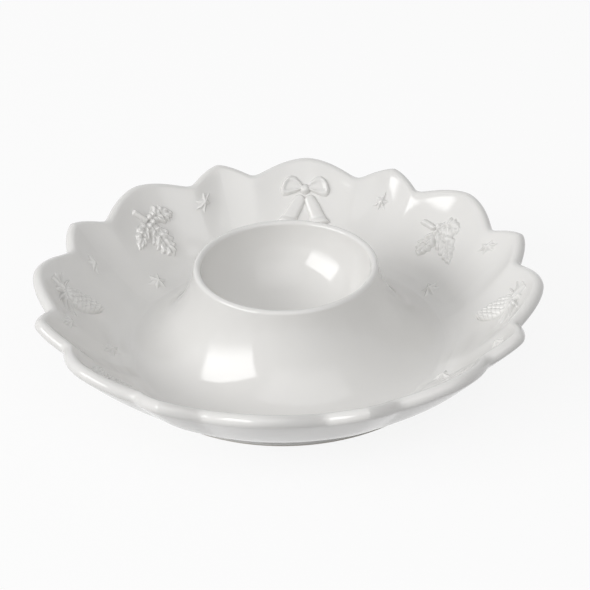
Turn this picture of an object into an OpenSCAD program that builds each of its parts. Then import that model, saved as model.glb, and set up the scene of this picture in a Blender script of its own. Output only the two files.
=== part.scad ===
// Egg cup with a scalloped saucer of its own, in white glazed porcelain.
// Millimetres. The foot stands on z = 0, the axis is +Z, and one large lobe points along +Y.
// Azimuths are in degrees from +Y towards +X.

/* [Saucer] */
// Diameter over the tips of the lobes
dish_d = 130; // [120:1:140]
// Height of the large lobes' tips above the table
rim_h = 23.8; // [21:0.2:27]
// Thickness of the saucer's wall, which is also the thickness of its rounded rim
wall_t = 3.25; // [2.6:0.05:3.8]
// How far the notches between the lobes stand in from the tips
scallop_depth = 3.9; // [2.4:0.1:4.6]
// How far the notches lie below the tips of the large lobes
large_rise = 2.8; // [1.6:0.1:3.6]
// How far the notches lie below the tips of the small lobes
small_rise = 2.6; // [1.4:0.1:3.4]
// Rounding of a notch at the rim
notch_round = 0.9; // [0.6:0.1:1.6]
// Extra rounding that a notch gains down the wall
notch_fade = 4; // [2.5:0.25:5]
// Thickness of the floor
floor_t = 2.6; // [2.2:0.1:3.2]
// How far the wall keeps its slope above the foot, as a share of its straight run
heel_share = 0.3; // [0.2:0.01:0.36]
// How far it keeps its slope below the rim, as a share of the same run
sweep_share = 0.82; // [0.68:0.01:0.88]
// Slope of the wall just above the foot, in degrees
heel_angle = 34; // [28:1:38]
// Slope of the wall at the rim, in degrees
lip_angle = 48.6; // [45:0.2:54]

/* [Foot ring] */
// Outer diameter of the foot ring
foot_d = 83.6; // [78:0.4:88]
// Height of the foot ring under the floor
foot_h = 2; // [1.4:0.1:2.6]
// Thickness of the foot ring
foot_t = 3.2; // [2.6:0.1:4]
// Rounding of the foot ring's edges on the table
foot_round = 0.6; // [0.3:0.1:0.9]

/* [Cup] */
// Inner diameter of the cup's mouth
mouth_d = 43.2; // [40:0.4:46]
// Height of the cup's lip above the table
cup_h = 27; // [26:0.25:30]
// Thickness of the cup's rounded lip
lip_t = 1.9; // [1.5:0.1:2.6]
// Depth of the bowl below the lip
bowl_depth = 19.6; // [17:0.2:21]
// Thickness of the cup's wall below the lip
cup_t = 3; // [2.4:0.1:3.4]
// Diameter at which the foot of the cup runs into the saucer's floor
join_d = 80; // [76:0.5:81]
// How far the cup's side moves out over the first part of its height
flare_out = 1.8; // [1.2:0.1:2.6]
// Height of that first part
flare_drop = 12; // [9:0.25:13]
// Length over which the cup's side runs out along the floor
flare_run = 5.5; // [4:0.25:8]

/* [Raised ornament] */
// Height of the leaves, bells and cones above the wall
relief_h = 1.3; // [0.8:0.05:1.8]
// Height that the edge of an ornament keeps
edge_h = 0.3; // [0.2:0.05:0.5]
// Gap between an ornament and the wall that carries it
seat_gap = 0.12; // [0.1:0.01:0.2]
// Length of a sprig's largest leaf
leaf_l = 10.2; // [8.4:0.2:11]
// Width of that leaf
leaf_w = 6.2; // [5:0.1:6.6]
// Diameter of a berry
berry_d = 2; // [1.5:0.05:2.3]
// Length of a sprig's stem
stem_l = 4.6; // [3.4:0.2:5]
// Thickness of a stem
stem_w = 1.3; // [0.9:0.05:1.5]
// Height of a bell
bell_l = 8.4; // [7:0.2:9]
// Width of a bell over its mouth
bell_w = 7; // [5.6:0.2:7.4]
// Length of a loop or a tail of the bells' ribbon
ribbon_l = 6.2; // [5:0.2:6.6]
// Width of the ribbon
ribbon_w = 2.6; // [2:0.1:2.8]
// Length of a pine cone
cone_l = 12; // [10:0.25:13]
// Width of a pine cone
cone_w = 7.4; // [6:0.2:8]
// Diameter of a star near the rim
rim_star_d = 5.8; // [4.4:0.1:6.2]
// Diameter of a star beside the floor
floor_star_d = 6.2; // [4.8:0.1:6.6]
// Height of a star
star_h = 0.9; // [0.6:0.05:1.2]

/* [Hidden] */

glaze = "#eeece8";
bare_clay = "#e2dcd0";

// The rim repeats over eight sectors, each with one large and one small lobe
lobe_pairs = 8;
sector = 360 / lobe_pairs;
large_share = 0.615;
large_half = sector * large_share / 2;
// Powers that shape the arch of a large and of a small lobe
large_power = [1.75, 1.15];
small_power = [1.4, 0.95];

// Centre line of the rounded rim
bead_r = wall_t / 2;
tip_r = dish_d / 2 - bead_r;
notch_r = tip_r - scallop_depth;
notch_z = rim_h - bead_r - large_rise;

foot_r = foot_d / 2;
join_r = join_d / 2;
floor_z = foot_h + floor_t;
// The wall's straight run at a notch, and the lengths over which it keeps its slopes
wall_run = norm([notch_r - foot_r, notch_z - foot_h]);
heel_l = heel_share * wall_run;
sweep_l = sweep_share * wall_run;
// Share of the way up the outer face at which the floor's hollow curve meets the wall
meet_share = 0.16;
// Steps of the differences that give a slope
turn_step = 0.05;
share_step = 0.002;
// Room between the cup's round foot and the saucer's many-sided one
join_gap = 0.03;

// Sections across the saucer, as shares of half a lobe, and along the wall
column_shares = [0, 0.3, 0.58, 0.8, 0.93];
outer_shares = [0, 0.18, 0.36, 0.53, 0.69, 0.85, 1];
inner_shares = [1, 0.87, 0.74, 0.6, 0.45, 0.3];
floor_shares = [1, 0.66, 0.33, 0];
bead_steps = 5;

function softened(n, soft) = sqrt(n * n + soft * soft) - soft;
function arch(x, power) = pow(max(0, 1 - pow(abs(x), power[0])), power[1]);
function rad_to_deg(x) = x * 180 / PI;

// Angle from the middle of the nearest large lobe
function lobe_angle(a) = abs(a - sector * round(a / sector));

// 0 in a notch and 1 on a tip, with the notch rounded by a length
function lobe_rise(a, round_l) =
    let (
        d = lobe_angle(a),
        large = d <= large_half,
        half = large ? large_half : sector / 2 - large_half,
        soft = rad_to_deg(round_l / notch_r),
        x = 1 - softened(abs(d - large_half), soft) / softened(half, soft)
    )
    arch(x, large ? large_power : small_power);

// Radius and height of the rim's centre line at an azimuth
function rim_line(a, round_l) =
    let (
        rise = lobe_rise(a, round_l),
        up = lobe_angle(a) <= large_half ? large_rise : small_rise
    )
    [notch_r + scallop_depth * rise, notch_z + up * rise];

function bezier3(p, q, r, s, t) =
    pow(1 - t, 3) * p + 3 * pow(1 - t, 2) * t * q + 3 * (1 - t) * t * t * r + pow(t, 3) * s;
function bezier2(p, q, r, t) = pow(1 - t, 2) * p + 2 * (1 - t) * t * q + t * t * r;
function on_azimuth(a, p) = [p[0] * sin(a), p[0] * cos(a), p[1]];
function unit(v) = v / norm(v);

// Outer face of the wall: a curve from the foot to the rim, at each azimuth
function outer_face(a, t) =
    let (
        rim = rim_line(a, notch_round + (1 - t) * notch_fade),
        top = rim + bead_r * [sin(lip_angle), -cos(lip_angle)],
        foot = [foot_r, foot_h],
        heel = foot + heel_l * [cos(heel_angle), sin(heel_angle)],
        sweep = top - sweep_l * [cos(lip_angle), sin(lip_angle)]
    )
    on_azimuth(a, bezier3(foot, heel, sweep, top, t));

// Direction square to the wall, into the saucer, and direction up the wall
function outer_up(a, t) = unit(outer_face(a, min(1, t + share_step)) - outer_face(a, t - share_step));
function outer_normal(a, t) =
    unit(cross(outer_face(a + turn_step, t) - outer_face(a - turn_step, t), outer_up(a, t)));

// Inner face: the outer one moved in by the wall, down to a hollow curve into the flat floor
function wall_face(a, t) = outer_face(a, t) + wall_t * outer_normal(a, t);
function hollow_face(a, u) =
    let (
        start = on_azimuth(a, [join_r + join_gap, floor_z]),
        end = wall_face(a, meet_share),
        up = outer_up(a, meet_share),
        corner = end - up * (end[2] - floor_z) / up[2]
    )
    bezier2(start, corner, end, u);

// The whole inner face, by the share of the way from the cup's foot to the rim
floor_run = norm(hollow_face(0, 1) - hollow_face(0, 0));
upper_run = norm(wall_face(0, 1) - wall_face(0, meet_share));
hollow_share = floor_run / (floor_run + upper_run);
function inner_face(a, s) =
    s < hollow_share ? hollow_face(a, s / hollow_share)
    : wall_face(a, meet_share + (1 - meet_share) * (s - hollow_share) / (1 - hollow_share));
function inner_normal(a, s) =
    unit(cross(
        inner_face(a + turn_step, s) - inner_face(a - turn_step, s),
        inner_face(a, min(1, s + share_step)) - inner_face(a, s - share_step)
    ));

// Points round the rim's half circle, from the outer to the inner face
function bead_point(a, turn) =
    let (n = outer_normal(a, 1), up = outer_up(a, 1))
    outer_face(a, 1) + bead_r * n + bead_r * (up * sin(turn) - n * cos(turn));

// Azimuths of the sections: both sides of each tip, and each notch
half_lobe = concat(column_shares, [1]);
sector_columns = concat(
    [for (i = [len(half_lobe) - 1:-1:1]) -large_half * half_lobe[i]],
    [for (s = half_lobe) large_half * s],
    [for (i = [len(column_shares) - 1:-1:1]) sector / 2 - (sector / 2 - large_half) * column_shares[i]],
    [for (s = column_shares) sector / 2 + (sector / 2 - large_half) * s]
);
columns = [for (k = [0:lobe_pairs - 1]) for (a = sector_columns) a + sector * k];

// One section of the saucer, round from the underside over the rim to the floor
function dish_section(a) = concat(
    [on_azimuth(a, [join_r + join_gap, foot_h])],
    [for (t = outer_shares) outer_face(a, t)],
    [for (i = [1:bead_steps]) bead_point(a, 180 * i / (bead_steps + 1))],
    [for (t = inner_shares) wall_face(a, t)],
    [for (u = floor_shares) hollow_face(a, u)]
);

// Skin of a ring of sections, closed all round
function ring_faces(rings, points) = [
    for (i = [0:rings - 1]) for (j = [0:points - 1])
        let (
            p = i * points + j,
            q = i * points + (j + 1) % points,
            r = ((i + 1) % rings) * points + j,
            s = ((i + 1) % rings) * points + (j + 1) % points
        )
        each [[p, s, q], [p, r, s]]
];

module dish() {
    sections = [for (a = columns) dish_section(a)];
    color(glaze)
        polyhedron([for (s = sections) each s], ring_faces(len(columns), len(sections[0])), convexity = 6);
}

// Cup: the lip is a half circle, the bowl half an ellipse, and the side a hollow flare
mouth_r = mouth_d / 2;
lip_r = lip_t / 2;
lip_z = cup_h - lip_r;
round_sides = 128;
lip_steps = 8;
bowl_steps = 22;
flare_steps = 18;
flare_lean = atan(flare_out / flare_drop);
lip_centre = [mouth_r + lip_r, lip_z];
flare_top = lip_centre + lip_r * [cos(flare_lean), sin(flare_lean)];
flare_pull = flare_top + [flare_out, -flare_drop];
flare_toe = [join_r - flare_run, floor_z];
flare_end = [join_r, floor_z];
// Least width of the hollow under the cup, at its top
crest_share = 0.5;
crest_w = cup_t * crest_share;

function bowl_point(grow, turn) =
    [(mouth_r + grow) * cos(turn), lip_z - (bowl_depth - lip_r + grow) * sin(turn)];
function shell_r(z) =
    (mouth_r + cup_t) * sqrt(max(0, 1 - pow((lip_z - z) / (bowl_depth - lip_r + cup_t), 2)));
function flare_point(u) = bezier3(flare_top, flare_pull, flare_toe, flare_end, u);
function flare_inside(u) =
    let (d = flare_point(min(1, u + share_step)) - flare_point(u - share_step), n = unit([d[1], -d[0]]))
    flare_point(u) + n * (cup_t + (floor_t - cup_t) * u);

under_flare = [
    for (i = [flare_steps:-1:1]) let (p = flare_inside(i / flare_steps))
        if (p[0] > shell_r(p[1]) + crest_w) p
];
crest_z = under_flare[len(under_flare) - 1][1];
crest_turn = asin((lip_z - crest_z) / (bowl_depth - lip_r + cup_t));

cup_outline = concat(
    [for (i = [0:bowl_steps]) bowl_point(0, 90 - 90 * i / bowl_steps)],
    [for (i = [1:lip_steps]) let (turn = 180 - (180 - flare_lean) * i / lip_steps)
        lip_centre + lip_r * [cos(turn), sin(turn)]],
    [for (i = [1:flare_steps]) flare_point(i / flare_steps)],
    under_flare,
    [for (i = [0:bowl_steps]) bowl_point(cup_t, crest_turn + (90 - crest_turn) * i / bowl_steps)]
);

module egg_cup() {
    color(glaze)
        rotate_extrude($fn = round_sides)
            polygon(cup_outline);
}

// Foot ring: bare where it stands on the table, with rounded edges
ring_in = foot_r - foot_t;
edge_steps = 4;
foot_outline = concat(
    [[ring_in, foot_h], [ring_in, foot_round]],
    [for (i = [1:edge_steps]) let (turn = 180 + 90 * i / edge_steps)
        [ring_in + foot_round, foot_round] + foot_round * [cos(turn), sin(turn)]],
    [for (i = [0:edge_steps]) let (turn = 270 + 90 * i / edge_steps)
        [foot_r - foot_round, foot_round] + foot_round * [cos(turn), sin(turn)]],
    [[foot_r, foot_h]]
);

module foot_ring() {
    color(bare_clay)
        rotate_extrude($fn = round_sides)
            polygon(foot_outline);
}

// Ornaments lie on the inner face. A spot is an azimuth and a share of the way to the rim,
// and a point [x, y] on it is measured along the rim and up the wall. The share that lies
// a distance y from the spot is found in a few steps.
top_share = 0.98;
find_steps = 5;
function step_to(spot, s, y, left) =
    let (
        run = norm(inner_face(spot[0], s) - inner_face(spot[0], spot[1])),
        next = spot[1] + (s - spot[1]) * abs(y) / run
    )
    left == 1 ? next : step_to(spot, next, y, left - 1);
function share_at(spot, y) =
    abs(y) < wall_t * share_step ? spot[1]
    : step_to(spot, spot[1] + (y > 0 ? share_step : -share_step), y, find_steps);
function at_spot(spot, p) =
    let (s = min(top_share, share_at(spot, p[1])), q = inner_face(spot[0], s))
    [spot[0] + rad_to_deg(p[0] / norm([q[0], q[1]])), s];
function raised(spot, p, h) =
    let (at = at_spot(spot, p))
    inner_face(at[0], at[1]) + (seat_gap + h) * inner_normal(at[0], at[1]);
function turned(p, turn) = [p[0] * cos(turn) - p[1] * sin(turn), p[0] * sin(turn) + p[1] * cos(turn)];

// A raised patch: rows of points [x, y, height], closed underneath by the same rows on the wall
module patch(spot, rows) {
    across = len(rows[0]);
    count = len(rows) * across;
    top = [for (row = rows) for (p = row) raised(spot, [p[0], p[1]], p[2])];
    under = [for (row = rows) for (p = row) raised(spot, [p[0], p[1]], 0)];
    skin = [
        for (i = [0:len(rows) - 2]) for (j = [0:across - 2])
            let (p = i * across + j, q = p + 1, r = p + across, s = r + 1)
            each [[p, s, q], [p, r, s], [count + p, count + q, count + s], [count + p, count + s, count + r]]
    ];
    edge = concat(
        [for (j = [0:across - 1]) j],
        [for (i = [1:len(rows) - 1]) i * across + across - 1],
        [for (j = [across - 2:-1:0]) (len(rows) - 1) * across + j],
        [for (i = [len(rows) - 2:-1:1]) i * across]
    );
    side = [
        for (k = [0:len(edge) - 1])
            let (p = edge[k], q = edge[(k + 1) % len(edge)])
            each [[p, q, count + q], [p, count + q, count + p]]
    ];
    polyhedron(concat(top, under), concat(skin, side), convexity = 4);
}

// Rows of a patch that lies along a line from a root, with its own half width and height
across_shares = [-1, -0.55, 0, 0.55, 1];
function strip(root, turn, length, widths, heights) = [
    for (i = [0:len(widths) - 1]) [
        for (v = across_shares)
            let (p = root + turned([widths[i] * v, length * i / (len(widths) - 1)], turn))
            [p[0], p[1], edge_h + (heights[i] - edge_h) * sqrt(1 - v * v)]
    ]
];

// Leaf: the width swells and closes again, and every second row stands out as a tooth
leaf_rows = 10;
leaf_powers = [0.85, 0.8];
crest_power = 0.6;
tooth_share = 0.14;
least_share = 0.06;
// A number that grows and shrinks in turn from row to row
function stepped(i, share) = 1 + (i % 2 == 0 ? -1 : 1) * share;
function leaf_half(i) =
    leaf_w / 2 * stepped(i, tooth_share)
    * max(least_share, pow(sin(180 * pow(i / leaf_rows, leaf_powers[0])), leaf_powers[1]));
function leaf_height(i) =
    edge_h + (relief_h - edge_h) * max(least_share, sin(180 * pow(i / leaf_rows, crest_power)));

// Berry, knot or clapper: a low dome of rings
dome_sides = 8;
dome_shares = [[1, 0], [0.8, 0.6], [0.4, 0.92]];
module dome(spot, place, d, h) {
    ring = [for (s = dome_shares) for (k = [0:dome_sides - 1])
        raised(spot, place + s[0] * d / 2 * [cos(360 * k / dome_sides), sin(360 * k / dome_sides)],
            edge_h + (h - edge_h) * s[1])];
    foot = [for (k = [0:dome_sides - 1])
        raised(spot, place + d / 2 * [cos(360 * k / dome_sides), sin(360 * k / dome_sides)], 0)];
    points = concat(foot, ring, [raised(spot, place, h), raised(spot, place, 0)]);
    last = len(points) - 1;
    rings = len(dome_shares);
    polyhedron(points, concat(
        [for (i = [0:rings - 1]) for (k = [0:dome_sides - 1])
            let (p = i * dome_sides + k, q = i * dome_sides + (k + 1) % dome_sides)
            each [[p, q + dome_sides, q], [p, p + dome_sides, q + dome_sides]]],
        [for (k = [0:dome_sides - 1])
            [rings * dome_sides + k, last - 1, rings * dome_sides + (k + 1) % dome_sides]],
        [for (k = [0:dome_sides - 1]) [k, (k + 1) % dome_sides, last]]
    ), convexity = 2);
}

// Sprig: a stem, three berries where the leaves meet, and three toothed leaves, the middle
// one the largest. The angles are those of the stem and the leaves, clockwise from the rim.
leaf_length_shares = [0.66, 1, 0.66];
leaf_width_shares = [0.72, 1, 0.72];
stem_width_shares = [0.5, 0.5, 0.6];
stem_height_shares = [0.6, 0.6, 0.8];
leaf_root = berry_d * 0.95;
berry_angle = 45;
berry_out = berry_d * 0.62;
module leaf_sprig(spot, angles) {
    color(glaze) {
        for (i = [0:2]) {
            turn = -angles[i + 1];
            patch(spot, strip(
                turned([0, leaf_root], turn), turn, leaf_l * leaf_length_shares[i],
                [for (k = [0:leaf_rows]) leaf_half(k) * leaf_width_shares[i]],
                [for (k = [0:leaf_rows]) leaf_height(k)]));
            dome(spot, turned([0, berry_out], turn + berry_angle), berry_d, relief_h);
        }
        patch(spot, strip(
            turned([0, leaf_root], -angles[0]), -angles[0], stem_l,
            stem_w * stem_width_shares, relief_h * stem_height_shares));
    }
}

// Bell pair: two bells that lean apart under a bow, with a clapper showing in each mouth
bell_shares = [0.22, 0.42, 0.56, 0.64, 0.72, 0.86, 1];
bow_shares = [0.3, 0.8, 1, 0.86, 0.45];
bell_angle = 29;
bow_angle = 68;
bow_up = bell_l * 0.42;
knot_d = ribbon_w * 1.05;
knot_h = relief_h * 1.05;
bell_root = knot_d * 0.75;
bow_root = knot_d * 0.6;
clapper_d = bell_w * 0.3;
clapper_out = bell_w * 0.2;
clapper_h = relief_h * 0.8;
bow_low = relief_h * 0.4;
bow_gain = relief_h * 0.5;
module bell_pair(spot) {
    knot = [0, bow_up];
    color(glaze) {
        for (side = [-1, 1]) {
            turn = 180 - side * bell_angle;
            root = knot + turned([0, bell_root], turn);
            patch(spot, strip(
                root, turn, bell_l,
                bell_w / 2 * bell_shares,
                [for (s = bell_shares) edge_h + (relief_h - edge_h) * sqrt(s)]));
            dome(spot, root + turned([0, bell_l + clapper_out], turn), clapper_d, clapper_h);
            loop = -side * bow_angle;
            patch(spot, strip(
                knot + turned([0, bow_root], loop), loop, ribbon_l,
                ribbon_w * bow_shares,
                [for (s = bow_shares) bow_low + bow_gain * s]));
        }
        dome(spot, knot, knot_d, knot_h);
    }
}

// Pine cone: an oval whose rows of scales step up and down, with two short twigs at its head
cone_shares = [0.54, 0.81, 0.95, 1, 0.98, 0.9, 0.77, 0.59, 0.34];
cone_rows = len(cone_shares) - 1;
cone_side_share = 0.07;
cone_step_share = 0.1;
cone_angle = 22;
cone_head = [cone_l * 0.18, cone_l * 0.5];
cone_low = relief_h * 0.68;
cone_gain = relief_h * 0.42;
twig_l = cone_l * 0.58;
twig_w = cone_w * 0.2;
twig_angle = 76;
twig_shares = [0.48, 1, 0.85, 0.14];
twig_height_shares = [0.8, 0.7, 0.6, 0.4];
module pine_cone(spot, flip) {
    head = [cone_head[0] * flip, cone_head[1]];
    color(glaze) {
        patch(spot, strip(
            head, 180 - cone_angle * flip, cone_l,
            [for (i = [0:cone_rows]) cone_w / 2 * cone_shares[i] * stepped(i, cone_side_share)],
            [for (i = [0:cone_rows])
                (cone_low + cone_gain * sin(180 * i / cone_rows)) * stepped(i, cone_step_share)]));
        for (side = [-1, 1]) {
            turn = side * twig_angle - cone_angle * flip;
            patch(spot, strip(
                head + turned([0, stem_w], turn), turn, twig_l,
                twig_w * twig_shares, relief_h * twig_height_shares));
        }
    }
}

// Star: ridges run from a raised middle down to the points, with valleys between
star_points = 6;
valley_share = 0.46;
star_edge_h = edge_h / 2;
module star(spot, d, turn) {
    rim = [for (k = [0:2 * star_points - 1])
        let (far = k % 2 == 0, r = d / 2 * (far ? 1 : valley_share), b = turn + 180 * k / star_points)
        [r * cos(b), r * sin(b)]];
    corners = len(rim);
    points = concat(
        [for (p = rim) raised(spot, p, star_edge_h)],
        [for (p = rim) raised(spot, p, 0)],
        [raised(spot, [0, 0], star_h), raised(spot, [0, 0], 0)]
    );
    color(glaze)
        polyhedron(points, concat(
            [for (k = [0:corners - 1]) [k, 2 * corners, (k + 1) % corners]],
            [for (k = [0:corners - 1]) [corners + k, corners + (k + 1) % corners, 2 * corners + 1]],
            [for (k = [0:corners - 1]) each [
                [k, (k + 1) % corners, corners + (k + 1) % corners],
                [k, corners + (k + 1) % corners, corners + k]]]
        ), convexity = 3);
}

// Turn from one star to the next
rim_star_angle = 17;
floor_star_angle = 23;
// Places on the inner face, as azimuth and share of the way to the rim
sprig_spots = [[42, 0.77], [138, 0.8], [-134, 0.81], [-47, 0.825]];
sprig_angles = [[-64, 64, 110, 184], [-38, 74, 160, 244], [-30, 84, 172, 252], [-32, 80, 171, 250]];
bell_spots = [[0, 0.76], [180, 0.76]];
cone_spots = [[87.5, 0.7], [-89, 0.69]];
rim_star_spots = [
    [22, 0.83], [62, 0.92], [109, 0.88], [152, 0.91],
    [-158.5, 0.87], [-104.5, 0.91], [-73, 0.86], [-29.5, 0.91]
];
floor_star_spots = [
    [18, 0.3], [56, 0.14], [113.5, 0.17], [163, 0.2],
    [-143, 0.14], [-105, 0.34], [-57.5, 0.21], [-19, 0.25]
];

dish();
egg_cup();
foot_ring();
for (i = [1:4]) {
    leaf_sprig(sprig_spots[i - 1], sprig_angles[i - 1]);
}
for (i = [1:2]) {
    bell_pair(bell_spots[i - 1]);
    pine_cone(cone_spots[i - 1], i == 1 ? 1 : -1);
}
for (i = [1:8]) {
    star(rim_star_spots[i - 1], rim_star_d, rim_star_angle * i);
    star(floor_star_spots[i - 1], floor_star_d, floor_star_angle * i);
}
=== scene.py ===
import math

import bpy
import numpy as np
from mathutils import Matrix, Vector


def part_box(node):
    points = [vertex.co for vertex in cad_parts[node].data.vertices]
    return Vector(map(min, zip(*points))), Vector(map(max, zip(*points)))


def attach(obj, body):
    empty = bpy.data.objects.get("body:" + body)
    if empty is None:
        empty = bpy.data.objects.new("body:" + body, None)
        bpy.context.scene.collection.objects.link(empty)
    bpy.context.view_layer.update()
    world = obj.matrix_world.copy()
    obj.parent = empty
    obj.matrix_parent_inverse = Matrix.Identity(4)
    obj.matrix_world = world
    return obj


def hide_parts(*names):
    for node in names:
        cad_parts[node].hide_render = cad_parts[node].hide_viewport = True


# %% [markdown]
# # An egg cup with a scalloped saucer of its own
#
# The real thing is one piece of white porcelain: the cup rises from the middle of a
# saucer whose rim is cut into sixteen lobes, and stars, leaf sprigs, bells and pine
# cones stand a millimetre proud of the saucer's wall under a thick, glossy glaze.
#
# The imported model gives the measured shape. It is loaded here as a fixed frame, and each
# piece made below takes the place of one part of that frame.

# %% Load the measured model
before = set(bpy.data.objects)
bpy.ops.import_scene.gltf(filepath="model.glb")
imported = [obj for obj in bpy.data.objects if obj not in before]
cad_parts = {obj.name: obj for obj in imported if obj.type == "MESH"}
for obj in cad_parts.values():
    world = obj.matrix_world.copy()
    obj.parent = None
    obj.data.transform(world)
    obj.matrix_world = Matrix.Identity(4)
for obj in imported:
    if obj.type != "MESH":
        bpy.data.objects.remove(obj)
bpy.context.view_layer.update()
MM = 0.001


def size_mm(node):
    """Lowest and highest corner of a part of the frame, in millimetres."""
    low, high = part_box(node)
    return np.array(low) / MM, np.array(high) / MM


dish_low, dish_high = size_mm("dish")
foot_low, foot_high = size_mm("foot_ring")
cup_low, cup_high = size_mm("egg_cup")
print("frame:", len(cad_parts), "parts, saucer", np.round(dish_high - dish_low, 2), "mm")

# %% [markdown]
# ## Sizes
#
# The frame's boxes give the diameters and heights. The rest are the potter's own
# choices: how thick the wall is, how deep the notches are cut and how the wall bends
# on its way from the foot to the rim. All lengths are millimetres until a mesh is made.

# %% Sizes of the saucer and the cup
wall_t = 3.25
bead_r = wall_t / 2
dish_r = (dish_high[1] - dish_low[1]) / 2
tip_r = dish_r - bead_r
scallop_depth, large_rise, small_rise = 3.9, 2.8, 2.6
notch_r = tip_r - scallop_depth
notch_z = dish_high[2] - bead_r - large_rise
notch_round, notch_fade = 0.9, 4.0
heel_angle, lip_angle = math.radians(34), math.radians(48.6)
heel_share, sweep_share = 0.3, 0.82

foot_r = (foot_high[0] - foot_low[0]) / 2
foot_h, foot_t, foot_round = foot_high[2], 3.2, 0.6
floor_t = 2.6
floor_z = foot_h + floor_t

join_r = (cup_high[0] - cup_low[0]) / 2
cup_h, lip_t, cup_t = cup_high[2], 1.9, 3.0
mouth_r, bowl_depth = 21.6, 19.6
print(f"rim {2 * dish_r:.1f} across, cup {cup_h:.1f} high, floor at {floor_z:.1f}")

# %% [markdown]
# ## The scalloped wall as a function of two numbers
#
# A potter would turn a plain saucer and press the lobes into a mould. Here the wall is a
# surface of two parameters: the azimuth round the saucer and the share of the way up the
# wall. The rim's line is a row of arches, large and small in turn, and every section
# below it is a Bezier curve from the round foot to that line. The notches get rounder
# towards the foot, so the folds between the lobes fade out as they do in soft clay.

# %% The rim's line
sector = 45.0
large_share = 0.615
large_half = sector * large_share / 2
large_power, small_power = (1.75, 1.15), (1.4, 0.95)


def softened(x, soft):
    """sqrt(x^2 + soft^2) - soft: |x| with its corner at 0 rounded."""
    return np.sqrt(x * x + soft * soft) - soft


def lobe_rise(azimuth, rounding):
    """(1 - x^p)^q, where x goes from 0 on a lobe's tip to 1 in the rounded notch."""
    off = np.abs(azimuth - sector * np.round(azimuth / sector))
    large = off <= large_half
    half = np.where(large, large_half, sector / 2 - large_half)
    soft = np.degrees(rounding / notch_r)
    x = 1 - softened(off - large_half, soft) / softened(half, soft)
    p = np.where(large, large_power[0], small_power[0])
    q = np.where(large, large_power[1], small_power[1])
    return np.maximum(0, 1 - np.abs(x) ** p) ** q, large


def rim_line(azimuth, rounding):
    """Radius and height of the rim's centre line: the notch's, plus the lobe's rise."""
    rise, large = lobe_rise(azimuth, rounding)
    height = notch_z + np.where(large, large_rise, small_rise) * rise
    return notch_r + scallop_depth * rise, height


tips = rim_line(np.array([0.0, large_half, sector / 2]), notch_round)
print("large tip, notch and small tip at", np.round(np.stack(tips, -1), 2).tolist())

# %% Points, directions and curves
TURN_STEP, SHARE_STEP = 0.05, 0.002


def spun(azimuth, radius, height):
    """Points at a radius and height, turned to an azimuth from +Y towards +X."""
    a = np.radians(azimuth)
    return np.stack(np.broadcast_arrays(radius * np.sin(a), radius * np.cos(a), height), -1)


def unit(v):
    """Each vector divided by its own length."""
    return v / np.linalg.norm(v, axis=-1, keepdims=True)


def bezier(points, t):
    """Sum of C(n, k) (1 - t)^(n - k) t^k p_k over the control points."""
    n = len(points) - 1
    return sum(math.comb(n, k) * (1 - t) ** (n - k) * t**k * p for k, p in enumerate(points))


print("middle of a test curve:", bezier([0.0, 1.0, 0.0], 0.5))

# %% The outer face
wall_run = math.hypot(notch_r - foot_r, notch_z - foot_h)
heel_l, sweep_l = heel_share * wall_run, sweep_share * wall_run


def outer_face(azimuth, t):
    """Cubic curve from the foot, leaving at the heel's angle, to the rim at the lip's angle."""
    radius, height = rim_line(azimuth, notch_round + (1 - t) * notch_fade)
    top_r = radius + bead_r * math.sin(lip_angle)
    top_z = height - bead_r * math.cos(lip_angle)
    heel = (foot_r + heel_l * math.cos(heel_angle), foot_h + heel_l * math.sin(heel_angle))
    sweep = (top_r - sweep_l * math.cos(lip_angle), top_z - sweep_l * math.sin(lip_angle))
    return spun(azimuth, bezier([foot_r, heel[0], sweep[0], top_r], t),
                bezier([foot_h, heel[1], sweep[1], top_z], t))


def outer_frame(azimuth, t):
    """Direction up the wall, and the normal into the saucer: turn direction x up direction."""
    above = outer_face(azimuth, np.minimum(1, t + SHARE_STEP))
    up = unit(above - outer_face(azimuth, t - SHARE_STEP))
    across = outer_face(azimuth + TURN_STEP, t) - outer_face(azimuth - TURN_STEP, t)
    return up, unit(np.cross(across, up))


print(f"outer wall about {wall_run:.1f} mm long from the foot to the rim")

# %% [markdown]
# ## The inner face
#
# The mould that presses the lobes leaves the wall a little thinner in each of them and
# just under the rim's bead, so the inner face is the outer one moved in by a thickness
# that changes with the place. At the bottom it bends into the flat floor along a cubic
# curve whose two middle points are pulled towards the corner where wall and floor would
# meet: a strong pull gives a tight fold, a weak one a soft bowl. Where the floor meets
# the cup, the glaze has run together and fills the bend.

# %% The wall's inner face
meet_share = 0.16
cupping, cup_reach = 0.4, 0.2
flute, flute_share, flute_reach = 0.8, 0.27, 0.22
flute_round, flute_all_round = 1.5, 0.35


def wall_face(azimuth, t):
    """The outer face moved in by the thickness, hollowed under the rim's bead and in each lobe."""
    w = (1 - t) / cup_reach
    under_bead = cupping * w * np.exp(1 - w) * np.clip((t - meet_share) / cup_reach, 0, 1)
    rise, _ = lobe_rise(azimuth, notch_round + flute_round)
    in_lobes = flute * (rise + flute_all_round) * np.exp(-(((t - flute_share) / flute_reach) ** 2))
    thickness = wall_t - under_bead - in_lobes
    return outer_face(azimuth, t) + thickness[..., None] * outer_frame(azimuth, t)[1]


lobe_middle = np.array([0.0]), np.array([flute_share])
wall_there = np.linalg.norm(wall_face(*lobe_middle) - outer_face(*lobe_middle))
print(f"wall {wall_there:.2f} mm thick low in a large lobe, {wall_t} mm at the rim")

# %% The hollow floor, and the glaze that fills the cup's toe
corner_pull, corner_clear = 0.62, 1.0
toe_bend, toe_blur = 0.2, 1.6
AREA_SCALE, AREA_BEND = 0.7979, 0.044715


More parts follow.
